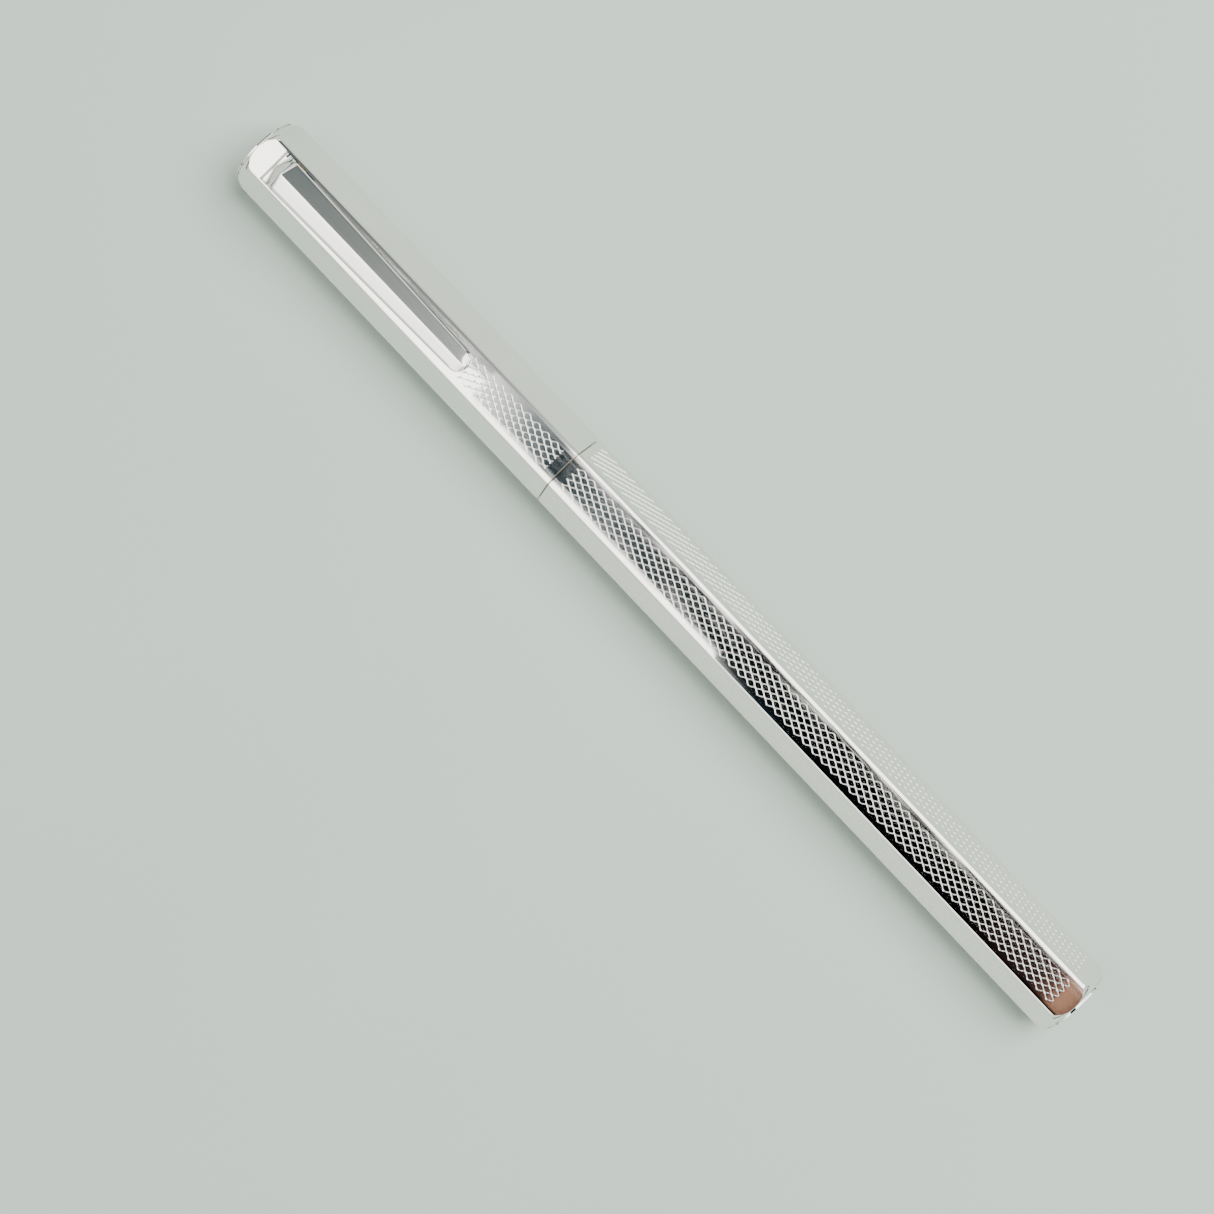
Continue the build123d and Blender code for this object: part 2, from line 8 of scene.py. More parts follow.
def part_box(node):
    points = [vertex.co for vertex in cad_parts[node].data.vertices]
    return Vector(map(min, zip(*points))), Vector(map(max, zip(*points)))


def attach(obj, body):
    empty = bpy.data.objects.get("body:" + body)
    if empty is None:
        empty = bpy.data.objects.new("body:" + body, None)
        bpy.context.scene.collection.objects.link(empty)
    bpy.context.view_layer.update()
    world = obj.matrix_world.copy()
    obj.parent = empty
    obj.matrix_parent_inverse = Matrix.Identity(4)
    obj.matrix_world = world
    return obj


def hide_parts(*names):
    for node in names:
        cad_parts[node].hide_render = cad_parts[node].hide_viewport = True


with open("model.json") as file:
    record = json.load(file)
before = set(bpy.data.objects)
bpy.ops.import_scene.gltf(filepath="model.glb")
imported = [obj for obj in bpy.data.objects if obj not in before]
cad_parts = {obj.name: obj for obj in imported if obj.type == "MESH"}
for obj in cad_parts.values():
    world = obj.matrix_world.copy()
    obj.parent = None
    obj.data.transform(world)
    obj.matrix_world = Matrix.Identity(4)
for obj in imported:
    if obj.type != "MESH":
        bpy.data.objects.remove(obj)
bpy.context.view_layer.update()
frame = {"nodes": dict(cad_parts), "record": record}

mm = 0.001
turn = 2 * math.pi

# Where each CAD node rides and which finish it has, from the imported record
bodyOf = {node: body for body, nodes in frame["record"]["behaviour"]["bodies"].items() for node in nodes}
slotOf = {part["node"]: part["material_slot"] for part in frame["record"]["subparts"]}

# Sizes that several pieces share
capLow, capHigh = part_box("cap_shell")
barrelLow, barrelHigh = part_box("barrel_shell")
flats = barrelHigh.z - barrelLow.z
facet = flats / 2
axisZ = barrelLow.z + facet
cornerReach = (barrelHigh.y - barrelLow.y) / 2
cornerRadius = (flats / math.sqrt(3) - cornerReach) / (1 / math.cos(math.radians(30)) - 1)
flatHalf = flats / math.sqrt(3) / 2 - cornerRadius * math.tan(math.radians(30))
insertFit = 0.03 * mm
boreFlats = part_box("barrel_thread_bush")[1].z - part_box("barrel_thread_bush")[0].z + 2 * insertFit


# Materials

def linear(hexColour):
    # sRGB hex to linear RGBA
    channels = [int(hexColour[i:i + 2], 16) / 255 for i in (0, 2, 4)]
    return [c / 12.92 if c <= 0.04045 else ((c + 0.055) / 1.055) ** 2.4 for c in channels] + [1.0]


def addNode(tree, kind, settings=None, links=None):
    # one node, with its properties, socket values and incoming links
    node = tree.nodes.new(kind)
    for key, value in (settings or {}).items():
        if isinstance(key, str) and hasattr(node, key):
            setattr(node, key, value)
        else:
            node.inputs[key].default_value = value
    for key, source in (links or {}).items():
        tree.links.new(source, node.inputs[key])
    return node


def newMaterial(name, finish):
    # a Principled surface with the finish's steady values on its own sockets
    material = bpy.data.materials.new(name)
    material.use_nodes = True
    tree = material.node_tree
    tree.nodes.clear()
    surface = addNode(tree, "ShaderNodeBsdfPrincipled", finish)
    addNode(tree, "ShaderNodeOutputMaterial", links={"Surface": surface.outputs["BSDF"]})
    place = addNode(tree, "ShaderNodeTexCoord").outputs["Object"]
    return material, tree, surface, place


def grain(tree, place, size, detail=3.0, stretch=(1, 1, 1)):
    # noise whose grains are that many millimetres across, longer along an axis with a bigger stretch
    scale = tuple(1 / (size * mm * s) for s in stretch)
    scaled = addNode(tree, "ShaderNodeMapping", {"Scale": scale}, {"Vector": place})
    settings = {"Scale": 1.0, "Detail": detail}
    noise = addNode(tree, "ShaderNodeTexNoise", settings, {"Vector": scaled.outputs[0]})
    return noise.outputs["Fac"]


def between(tree, source, low, high, fromLow=0.35, fromHigh=0.65):
    spread = {"From Min": fromLow, "From Max": fromHigh, "To Min": low, "To Max": high}
    return addNode(tree, "ShaderNodeMapRange", spread, {"Value": source}).outputs[0]


def tinted(tree, source, colourA, colourB):
    settings = {"data_type": "RGBA", 6: linear(colourA), 7: linear(colourB)}
    return addNode(tree, "ShaderNodeMix", settings, {"Factor": source}).outputs[2]


def relief(tree, surface, *layers):
    # layers of (height, depth in millimetres), each bump on top of the one before
    normal = None
    for height, depth in layers:
        links = {"Height": height}
        if normal is not None:
            links["Normal"] = normal
        bump = addNode(tree, "ShaderNodeBump", {"Strength": 1.0, "Distance": depth * mm}, links)
        normal = bump.outputs[0]
    tree.links.new(normal, surface.inputs["Normal"])


def polishedMetal(name, look):
    # mirror-bright metal: faint haze, hairlines from the buffing wheel, and flats that are never quite flat
    material, tree, surface, place = newMaterial(name, {"Metallic": 1.0})
    haze = grain(tree, place, look["haze"])
    hairlines = grain(tree, place, look["hairline"], 2.0, (look["hairlineStretch"], 1, 1))
    ripple = grain(tree, place, look["ripple"], 1.0, (look["rippleStretch"], 1, 1))
    tree.links.new(tinted(tree, haze, look["colour"], look["tarnish"]), surface.inputs["Base Color"])
    tree.links.new(between(tree, hairlines, *look["roughness"]), surface.inputs["Roughness"])
    relief(tree, surface, (ripple, look["rippleDepth"]), (hairlines, look["hairlineDepth"]))
    return material


def turnedMetal(name, look):
    # metal straight from the lathe: fine rings round the axis and a soft sheen
    material, tree, surface, place = newMaterial(name, {"Metallic": 1.0})
    rings = grain(tree, place, look["ring"], 2.0, (1, look["ringStretch"], look["ringStretch"]))
    haze = grain(tree, place, look["haze"])
    tree.links.new(tinted(tree, haze, look["colour"], look["tarnish"]), surface.inputs["Base Color"])
    tree.links.new(between(tree, rings, *look["roughness"]), surface.inputs["Roughness"])
    relief(tree, surface, (rings, look["ringDepth"]))
    return material


def mouldedPlastic(name, look):
    # moulded plastic: even colour, a mould's fine grain, slight flow mottling
    finish = {"IOR": look["ior"], "Specular IOR Level": 0.5}
    finish.update(look.get("through", {}))
    material, tree, surface, place = newMaterial(name, finish)
    texture = grain(tree, place, look["grain"])
    flow = grain(tree, place, look["flow"], 1.0, (look["flowStretch"], 1, 1))
    tree.links.new(tinted(tree, flow, look["colour"], look["shade"]), surface.inputs["Base Color"])
    tree.links.new(between(tree, texture, *look["roughness"]), surface.inputs["Roughness"])
    relief(tree, surface, (texture, look["grainDepth"]))
    return material


# sizes and depths in millimetres, stretches as shares; hairlines, lathe rings and mould grain are
# drawn coarser than real ones, which are too fine to show
polish = {
    "haze": 9.0,
    "hairline": 0.35,
    "hairlineStretch": 18,
    "hairlineDepth": 0.0003,
    "ripple": 9.0,
    "rippleStretch": 2.5,
    "rippleDepth": 0.005,
}
lathe = {"haze": 5.0, "ring": 0.12, "ringStretch": 400, "ringDepth": 0.002}
mould = {"grain": 0.15, "grainDepth": 0.002, "flow": 4.0, "flowStretch": 3}

# silver plate over brass, buffed: near white, hardly warm, and flat enough to mirror
silver = polish | {"colour": "F6F4EF", "tarnish": "EDEAE2", "roughness": (0.02, 0.05)}
# the same plate on pressed sheet: its faces wave more
pressedSilver = silver | {"ripple": 7.0, "roughness": (0.06, 0.1)}
# the same plate on small turned rings and on the grip
trimSilver = silver | {"ripple": 4.0, "rippleDepth": 0.003}
gripSilver = silver | {"rippleDepth": 0.003}
# brass rod turned and left bare inside, a little browned
brass = lathe | {"colour": "D9B873", "tarnish": "B98F4E", "roughness": (0.22, 0.36)}
# the brass under the plate, drawn, and coloured dark brown in the bore
boreBrass = lathe | {"colour": "4B3B28", "tarnish": "2E251A", "roughness": (0.4, 0.55)}
# free-cutting steel, turned and oiled
steel = lathe | {"colour": "B9BABC", "tarnish": "9FA1A5", "roughness": (0.2, 0.34)}
# tempered strip, rolled: bluish, with rolling lines
springSteel = lathe | {"colour": "9DA3AB", "tarnish": "7F8794", "roughness": (0.24, 0.38)}
# stainless sheet, stamped and mirror polished
stainless = polish | {"colour": "DFDFDD", "tarnish": "CFCFCD", "roughness": (0.08, 0.16)}
# glossy chrome over a pressed band: cooler than silver
chrome = polish | {"colour": "E3E6EA", "tarnish": "D5D9DE", "roughness": (0.05, 0.1)}
# ABS, moulded in a spark-eroded tool: black with a dull sheen
blackAbs = mould | {"colour": "1B1B1D", "shade": "232325", "roughness": (0.32, 0.45), "ior": 1.53}
# ABS that was etched so that ink wets it: blacker and flatter
etchedAbs = mould | {"colour": "141416", "shade": "1D1D20", "roughness": (0.45, 0.62), "ior": 1.53}
# ABS for the knob, moulded glossy in dark grey
greyAbs = mould | {"colour": "26282B", "shade": "303236", "roughness": (0.22, 0.34), "ior": 1.53}
# nitrile rubber, moulded: grey black and matt
nitrile = mould | {"colour": "202122", "shade": "2A2B2C", "roughness": (0.6, 0.75), "ior": 1.52}
# acetal, turned from white rod: milky
acetal = mould | {"colour": "E9E7DF", "shade": "DEDBD2", "roughness": (0.3, 0.42), "ior": 1.48}
# polystyrene, moulded clear and glossy for the reservoir
polystyrene = mould | {"colour": "F4F7F7", "shade": "EEF3F3", "roughness": (0.03, 0.07), "ior": 1.59}
clearPolystyrene = polystyrene | {"grainDepth": 0.0004, "through": {"Transmission Weight": 1.0}}

materialOf = {
    "silver_plate": polishedMetal("polishedSilverPlate", silver),
    "silver_plate_clip": polishedMetal("polishedSilverPlateClip", pressedSilver),
    "silver_plate_trim": polishedMetal("polishedSilverPlateTrim", trimSilver),
    "silver_plate_section": polishedMetal("polishedSilverPlateGrip", gripSilver),
    "brass": turnedMetal("turnedBrass", brass),
    "steel": turnedMetal("turnedSteel", steel),
    "spring_steel": turnedMetal("rolledSpringSteel", springSteel),
    "nib_steel": polishedMetal("polishedStainless", stainless | {"rippleDepth": 0.002}),
    "chrome_band": polishedMetal("chromePlate", chrome | {"rippleDepth": 0.002}),
    "black_plastic": mouldedPlastic("mouldedAbsBlack", blackAbs),
    "feed_plastic": mouldedPlastic("etchedAbsBlack", etchedAbs),
    "seal_rubber": mouldedPlastic("mouldedNitrile", nitrile),
    "clear_plastic": mouldedPlastic("clearPolystyrene", clearPolystyrene),
    "rod_plastic": mouldedPlastic("acetalRod", acetal),
    "knob_plastic": mouldedPlastic("mouldedAbsKnob", greyAbs),
}
boreFinish = turnedMetal("drawnBrassBore", boreBrass)
for node, piece in frame["nodes"].items():
    piece.data.materials.clear()
    piece.data.materials.append(materialOf[slotOf[node]])
print("materials made", len(materialOf))


# Mesh helpers

def finishPiece(name, mesh, node, sharp=25.0):
    # closed mesh to a piece that stands for a CAD node and rides where it rides
    work = bmesh.new()
    work.from_mesh(mesh)
    bmesh.ops.delete(work, geom=[v for v in work.verts if not v.link_faces], context="VERTS")
    bmesh.ops.recalc_face_normals(work, faces=work.faces)
    work.to_mesh(mesh)
    work.free()
    mesh.shade_smooth()
    mesh.set_sharp_from_angle(angle=math.radians(sharp))
    mesh.materials.append(materialOf[slotOf[node]])
    piece = bpy.data.objects.new(name, mesh)
    bpy.context.scene.collection.objects.link(piece)
    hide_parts(node)
    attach(piece, bodyOf[node])
    return piece


def ringMesh(name, rings, closed=False, skip=None, extra=()):
    # quads between rings of equally many points; closed joins the last ring to the first
    count = len(rings[0])
    points = [p for ring in rings for p in ring]
    faces = []
    for i in range(len(rings) if closed else len(rings) - 1):
        j = (i + 1) % len(rings)
        for k in range(count):
            if skip and skip(i, k):
                continue
            n = (k + 1) % count
            faces.append((i * count + k, i * count + n, j * count + n, j * count + k))
    faces += extra
    if not closed:
        faces += [tuple(range(count)), tuple(range((len(rings) - 1) * count, len(rings) * count))]
    mesh = bpy.data.meshes.new(name)
    mesh.from_pydata(points, [], faces)
    return mesh


def turned(name, outline, segments):
    # a closed outline of (x, radius) in metres, turned about the pen's axis
    rings = []
    for s in range(segments):
        a = turn * s / segments
        rings.append([(x, r * math.cos(a), axisZ + r * math.sin(a)) for x, r in outline])
    return ringMesh(name, rings, closed=True)


# Hexagonal shells

shellValues = {
    "cornerSteps": 5,
    "endArc": 1.9 * mm,  # radius of the turned shoulder
    "endInset": 0.08 * mm,  # the shoulder ends this far inside the facets
    "endSteps": 9,
    "endWall": 1.8 * mm,
    "holeRadius": 3.3 * mm,
    "edgeBreak": 0.09 * mm,
    "support": 0.04 * mm,  # rows this close to a corner keep the facet flat
    "columnRoom": 0.06 * mm,  # least room between a panel's end and a plain column
    "window": (2.7 * mm, 6.2 * mm),  # the clip's opening, from the rim
    "sharp": 14.0,
}
engraving = {
    "lines": 8,
    "pitch": 0.405 * mm,
    "wave": 1.5 * mm,
    "swing": 0.19 * mm,
    "width": 0.13 * mm,
    "depth": 0.035 * mm,
    "nearest": 0.47,  # a groove's half width is at most this share of the room to the next
    "stepsPerWave": 8,
    "fade": 0.05 * mm,
    "settle": 0.6 * mm,  # past the engraving the mesh rows straighten over this
    "settleLag": 1.1,  # and are straight this many of those lengths past it
    "barrelMouthBorder": 1.0 * mm,
    "capMouthBorder": 1.4 * mm,
    "endBorder": 2.2 * mm,
    "tipColumns": 1.0 * mm,  # columns are added at the clip's tip and this far in front of it
    "wornShare": 0.35,  # what is left of it on the cap's sides
}


def facetRows():
    # rows round the pen: a kind and its number, from facet to facet, the uppermost first
    rows = []
    for side in range(6):
        rows += [(side, "flat", -flatHalf), (side, "flat", -flatHalf + shellValues["support"])]
        for line in range(engraving["lines"]):
            rows += [(side, "before", line), (side, "line", line), (side, "after", line)]
        rows += [(side, "flat", flatHalf - shellValues["support"]), (side, "flat", flatHalf)]
        for step in range(1, shellValues["cornerSteps"]):
            rows.append((side, "corner", step / shellValues["cornerSteps"]))
    return rows


def rowPoint(row, x, cut, sway):
    # across and out from the axis, in the facet's own directions, at x
    side, kind, value = row
    tilt = math.radians(60) * side
    out, aside = facet, 0.0
    if kind == "flat":
        aside = value
    elif kind == "corner":
        lean = math.radians(60) * value
        hub = (facet - cornerRadius) / math.cos(math.radians(30))
        out = hub * math.cos(math.radians(30)) + cornerRadius * math.cos(lean)
        aside = hub * math.sin(math.radians(30)) + cornerRadius * math.sin(lean)
    else:
        e = engraving
        middle = (e["lines"] - 1) / 2
        swing = [e["swing"] * sway * (-1) ** k * math.cos(turn * x / e["wave"]) for k in (0, 1)]
        place = [(k - middle) * e["pitch"] + swing[k % 2] for k in range(e["lines"])]
        step = {"before": -1, "line": 0, "after": 1}[kind]
        other = value + step
        room = abs(place[other] - place[value]) if 0 <= other < e["lines"] else e["pitch"]
        offset = min(e["width"] / 2, e["nearest"] * room) if step else 0.0
        aside = place[value] + step * offset
        out -= e["depth"] * cut * (1 - offset / (e["width"] / 2))
    across = aside * math.cos(tilt) + out * math.sin(tilt)
    return Vector((0, across, out * math.cos(tilt) - aside * math.sin(tilt)))


def hexShell(name, node, rim, mouth, engraved, panels, window=None):
    # a hexagonal tube with a turned shoulder and a bored wall at its rim, open at its mouth
    v, e = shellValues, engraving
    inward = 1 if mouth > rim else -1
    rows = facetRows()
    pitch = e["wave"] / e["stepsPerWave"]
    arcHub = cornerReach - v["endArc"]
    rimAngle = math.acos((facet - v["endInset"] - arcHub) / v["endArc"])
    arcX = rim + inward * v["endArc"] * math.sin(rimAngle)
    firstColumn = v["edgeBreak"] + v["support"]
    columns = [mouth - inward * (firstColumn + pitch * c) for c in range(int(abs(mouth - arcX) / pitch))]
    columns.insert(0, mouth - inward * v["edgeBreak"])
    # the engraving stops short in two columns at each end of a panel
    ends = [x for start, end in panels for x in (start, start + e["fade"], end - e["fade"], end)]
    columns = [x for x in columns if min(abs(x - end) for end in ends) > v["columnRoom"]] + ends
    columns.sort(key=lambda x: abs(x - mouth))
    count = len(columns)
    for edge in window or ():
        nearest = min(range(count), key=lambda c: abs(columns[c] - edge))
        columns[nearest] = edge
    centre = Vector((0, 0, axisZ))

    def ring(x, scale=1.0, cuts=True):
        made = []
        for row in rows:
            cut, sway = engraved(row[0], x) if cuts else (0.0, 0.0)
            point = rowPoint(row, x, cut, sway) * scale + centre
            made.append(Vector((x, point.y, point.z)))
        return made

    plain = [rowPoint(row, 0, 0, 0) for row in rows]
    boreScale = boreFlats / flats
    rings = [ring(mouth, 1 - v["edgeBreak"] / facet)] + [ring(x) for x in columns]
    # the shoulder starts where each row meets it, so that its edge on a facet is a clean curve
    for step in range(v["endSteps"] + 1):
        made = []
        for point in plain:
            reach = min(point.length, cornerReach)
            start = math.acos(min(1.0, (reach - arcHub) / v["endArc"]))
            angle = start + (rimAngle - start) * step / v["endSteps"]
            radius = arcHub + v["endArc"] * math.cos(angle)
            x = arcX - inward * v["endArc"] * math.sin(angle)
            made.append(Vector((x, 0, 0)) + centre + point.normalized() * radius)
        rings.append(made)
    wall = rim + inward * v["endWall"]
    for x, radius in ((rim, v["holeRadius"]), (wall, v["holeRadius"])):
        rings.append([Vector((x, 0, 0)) + centre + point.normalized() * radius for point in plain])
    firstBore = len(rings)
    inside = [c for c in range(count) if window and window[0] <= columns[c] <= window[1]]
    boreColumns = [wall] + [columns[c] for c in reversed(inside)] + [mouth]
    if inward < 0:
        boreColumns = [wall, mouth]
    rings += [ring(x, boreScale, False) for x in boreColumns]
    topRows = sum(1 for side, kind, value in rows if side == 0 and kind != "corner")
    size = len(rows)
    openRings = set()
    extra = []
    if inside:
        outer = [1 + c for c in inside]
        inner = [firstBore + len(inside) - i for i in range(len(inside))]
        openRings = set(outer[:-1]) | set(inner[1:])
        for row in (0, topRows - 1):
            for i in range(len(inside) - 1):
                corners = (outer[i], outer[i + 1], inner[i + 1], inner[i])
                extra.append(tuple(r * size + row for r in corners))
        for i in (0, -1):
            for row in range(topRows - 1):
                a, b = outer[i] * size + row, inner[i] * size + row
                extra.append((a, a + 1, b + 1, b))

    def inWindow(i, k):
        return i in openRings and k < topRows - 1

    mesh = ringMesh(name, rings, closed=True, skip=inWindow, extra=extra)
    for polygon in mesh.polygons:
        polygon.material_index = int(min(polygon.vertices) >= (firstBore - 1) * size)
    shell = finishPiece(name, mesh, node, v["sharp"])
    shell.data.materials.append(boreFinish)
    return shell


def fadeIn(x, start, end):
    # the engraving's depth share and its sway share: 1 between start and end
    e = engraving
    cut = max(0.0, min(1.0, (x - start) / e["fade"], (end - x) / e["fade"]))
    sway = min((x - start) / e["settle"], (end - x) / e["settle"]) + e["settleLag"]
    return cut, max(0.0, min(1.0, sway))


clipLow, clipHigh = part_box("clip")
endBorder = engraving["endBorder"]
barrelPanel = (barrelLow.x + engraving["barrelMouthBorder"], barrelHigh.x - endBorder)
capPanel = (capLow.x + endBorder, capHigh.x - engraving["capMouthBorder"])
frontPanel = (clipHigh.x, capPanel[1])  # the facet under the clip is engraved only in front of its tip
tipPanel = (clipHigh.x, clipHigh.x + engraving["tipColumns"])
clipWindow = [capLow.x + edge for edge in shellValues["window"]]


def barrelCut(side, x):
    return fadeIn(x, *barrelPanel)


def capCut(side, x):
    if side == 0:
        return fadeIn(x, *frontPanel)
    cut, sway = fadeIn(x, *capPanel)
    return cut * engraving["wornShare"], sway


hexShell("barrelShell", "barrel_shell", barrelHigh.x, barrelLow.x, barrelCut, [barrelPanel])
hexShell("capShell", "cap_shell", capLow.x, capHigh.x, capCut, [capPanel, tipPanel], clipWindow)
print("shells made")


# Clip

clipValues = {
    "width": 4.3 * mm,
    "tipWidth": 2.8 * mm,
    "tipRounding": 1.1 * mm,
    "heel": 0.6 * mm,  # length of the curve down into the slot
    "heelDrop": 0.75 * mm,
    "flatEnd": 0.45 * mm,
    "foldEnd": 2.0 * mm,
    "rootRise": 0.34 * mm,
    "edgeRise": (1.0 * mm, 0.75 * mm),
    "ridgeRise": (1.62 * mm, 1.15 * mm),
    "lift": (0.45 * mm, 0.30 * mm),
    "rootDepth": 1.0 * mm,
    "sheet": 0.5 * mm,
    "edgeRound": 0.12 * mm,
    "ridgeRound": 0.05,
    "foldLag": 0.45 * mm,  # the edges fold later than the ridge
    "hollowLag": 0.1 * mm,  # past the fold the sheet is hollow underneath
    "leastHalf": 0.25 * mm,  # half width where the tip closes
    "across": 18,
    "rootReach": 1.4,  # the fine sections at the root go on for this many folds
    "rootSteps": 40,
    "bodySteps": 30,
    "tipSteps": 12,
    "tipSweep": 88,  # degrees of the tip's rounding
    "lug": (3.1 * mm, 2.6 * mm),  # along and across the pen
    "ballRadius": 0.7 * mm,
    "ballBack": 2.0 * mm,
    "ballRise": 0.42 * mm,
    "ballSquash": 0.5,
    "sharp": 30.0,
}


def smooth(t):
    t = max(0.0, min(1.0, t))
    return t * t * (3 - 2 * t)


def mix(pair, t):
    return pair[0] + (pair[1] - pair[0]) * t


def clipSection(x, root, length):
    # one closed outline across the clip at x along it
    v = clipValues
    along = max(0.0, (x - v["foldEnd"]) / (length - v["foldEnd"]))
    half = mix((v["width"], v["tipWidth"]), along) / 2
    beyond = x - (length - v["tipRounding"])
    if beyond > 0:
        half -= v["tipRounding"] - math.sqrt(max(v["tipRounding"] ** 2 - beyond ** 2, 0.0))
    half = max(half, v["leastHalf"])
    edge, ridge = mix(v["edgeRise"], along), mix(v["ridgeRise"], along)
    base = v["rootRise"] - v["heelDrop"] * (1 - min(1.0, x / v["heel"])) ** 2
    hollow = x > v["foldEnd"] + v["hollowLag"]
    top, under = [], []
    for i in range(v["across"] + 1):
        u = 2 * i / v["across"] - 1
        tent = 1 - math.sqrt(u * u + v["ridgeRound"] ** 2) + v["ridgeRound"]
        fold = smooth((x - v["flatEnd"] - v["foldLag"] * abs(u)) / (v["foldEnd"] - v["flatEnd"]))
        height = base + (edge + (ridge - edge) * tent - base) * fold
        low = max(mix(v["lift"], along), height - v["sheet"]) if hollow else -v["rootDepth"]
        side = min(1.0, (1 - abs(u)) * half / v["edgeRound"])
        drop = v["edgeRound"] * (1 - math.sqrt(max(0.0, 1 - (1 - side) ** 2)))
        top.append((root + x, u * half, axisZ + facet + height - drop))
        under.append((root + x, u * half, axisZ + facet + low))
    return top + under[::-1]


def makeClip():
    v = clipValues
    root = clipLow.x
    length = clipHigh.x - root
    places = [v["foldEnd"] * v["rootReach"] * i / v["rootSteps"] for i in range(v["rootSteps"] + 1)]
    rootEnd = places[-1]
    bodyEnd = length - v["tipRounding"]
    places += [rootEnd + (bodyEnd - rootEnd) * i / v["bodySteps"] for i in range(1, v["bodySteps"] + 1)]
    for i in range(1, v["tipSteps"] + 1):
        places.append(bodyEnd + v["tipRounding"] * math.sin(math.radians(v["tipSweep"]) * i / v["tipSteps"]))
    mesh = ringMesh("clip", [clipSection(x, root, length) for x in places])
    work = bmesh.new()
    work.from_mesh(mesh)
    # the lug that the pin goes through
    lugTop = axisZ + facet - v["rootDepth"]
    lug = bmesh.ops.create_cube(work, size=1.0)["verts"]
    lugSize = Vector((*v["lug"], lugTop - clipLow.z))
    lugPlace = Vector((clipLow.x, 0, (lugTop + clipLow.z) / 2))
    for vert in lug:
        x, y, z = vert.co
        vert.co = lugPlace + Vector(((x + 0.5) * lugSize.x, y * lugSize.y, z * lugSize.z))
    # the ball that grips the cloth
    ball = bmesh.ops.create_uvsphere(work, u_segments=24, v_segments=12, radius=v["ballRadius"])
    ballPlace = Vector((clipHigh.x - v["ballBack"], 0, axisZ + facet + v["ballRise"]))
    for vert in ball["verts"]:
        vert.co = ballPlace + Vector((vert.co.x, vert.co.y, vert.co.z * v["ballSquash"]))
    work.to_mesh(mesh)
    work.free()
    return finishPiece("pocketClip", mesh, "clip", v["sharp"])


makeClip()
print("clip made")


# End plugs

plugValues = {
    "height": 0.40 * mm,
    "groove": 0.09 * mm,
    "edge": 0.12 * mm,
    "discInset": 0.10 * mm,
    "neckInset": 0.32 * mm,
    "domeSteps": 12,
    "segments": 128,
    "axisHole": 0.02 * mm,  # keeps the middle faces from collapsing
    "shoulder": 1.75 * mm,  # how far the stem goes in before it narrows to the stud
    "stud": 1.5 * mm,
    "leastStud": 0.1 * mm,  # a shorter stud is left off
    "sharp": 30.0,
}


def endPlug(name, node, rim, outward, stem):
    # a domed disc on a neck that leaves a fine groove under it, with its stem in the shell's hole
    v = plugValues
    disc, neck = facet - v["discInset"], facet - v["neckInset"]
    rise = v["height"] - v["groove"] - v["edge"]
    outline = [(rim + outward * v["groove"], disc), (rim + outward * (v["groove"] + v["edge"]), disc)]
    for i in range(1, v["domeSteps"]):
        share = math.sin(math.radians(90) * (1 - i / v["domeSteps"]))
        outline.append((rim + outward * (v["height"] - rise * share ** 2), disc * share))
    outline.append((rim + outward * v["height"], v["axisHole"]))
    outline += stem
    outline += [(rim, neck), (rim + outward * v["groove"], neck)]
    return finishPiece(name, turned(name, outline, v["segments"]), node, v["sharp"])


def plugStem(node, rim, outward):
    # back from the rim: the stem in the hole, then the stud that its nut or screw holds
    v = plugValues
    low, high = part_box(node)
    back = low.x if outward > 0 else high.x
    stem = shellValues["holeRadius"] - insertFit
    shoulder = rim - outward * v["shoulder"]
    if abs(back - shoulder) < v["leastStud"]:
        return [(back, v["axisHole"]), (back, stem), (rim, stem)]
    stud = v["stud"]
    return [(back, v["axisHole"]), (back, stud), (shoulder, stud), (shoulder, stem), (rim, stem)]


for name, node, rim, outward in (
    ("capEndPlug", "cap_end_plug", capLow.x, -1),
    ("barrelEndPlug", "barrel_end_plug", barrelHigh.x, 1),
):
    endPlug(name, node, rim, outward, plugStem(node, rim, outward))
print("end plugs made")


# Threaded connector

connectorValues = {
    "pitch": 0.75 * mm,
    "threadDepth": 0.33 * mm,
    "rootHalf": 0.12,  # shares of the pitch
    "grooveHalf": 0.42,
    "leadIn": 0.6 * mm,
    "stepsPerPitch": 12,
    "segments": 72,
    "spigot": 2.57 * mm,
    "socket": 2.2 * mm,
    "nippleHole": 1.03 * mm,
    "seatGap": 0.05 * mm,
}


def makeConnector():
    # a rolled thread behind the spigot, round the converter's socket
    v = connectorValues
    low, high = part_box("threaded_connector")
    crest = (high.z - low.z) / 2
    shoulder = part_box("section_collar")[1].x
    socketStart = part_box("converter_reservoir")[0].x - v["seatGap"]
    length = high.x - shoulder
    steps = round(length / v["pitch"] * v["stepsPerPitch"])
    rings = []
    for s in range(v["segments"]):
        share = s / v["segments"]
        outline = [(low.x, v["nippleHole"]), (low.x, v["spigot"]), (shoulder, v["spigot"])]
        for i in range(steps + 1):
            x = length * i / steps
            phase = (x / v["pitch"] - share) % 1.0
            groove = (v["grooveHalf"] - abs(phase - 0.5)) / (v["grooveHalf"] - v["rootHalf"])
            runOut = min(1.0, x / v["pitch"])
            lead = (x - length + v["leadIn"]) / v["leadIn"]
            cut = max(runOut * max(0.0, min(1.0, groove)), lead)
            outline.append((shoulder + x, crest - v["threadDepth"] * cut))
        outline += [(high.x, v["socket"]), (socketStart, v["socket"]), (socketStart, v["nippleHole"])]
        a = turn * share
        rings.append([(x, r * math.cos(a), axisZ + r * math.sin(a)) for x, r in outline])
    mesh = ringMesh("threadedConnector", rings, closed=True)
    return finishPiece("threadedConnector", mesh, "threaded_connector")


makeConnector()
print("connector made")


# Floor, light and camera

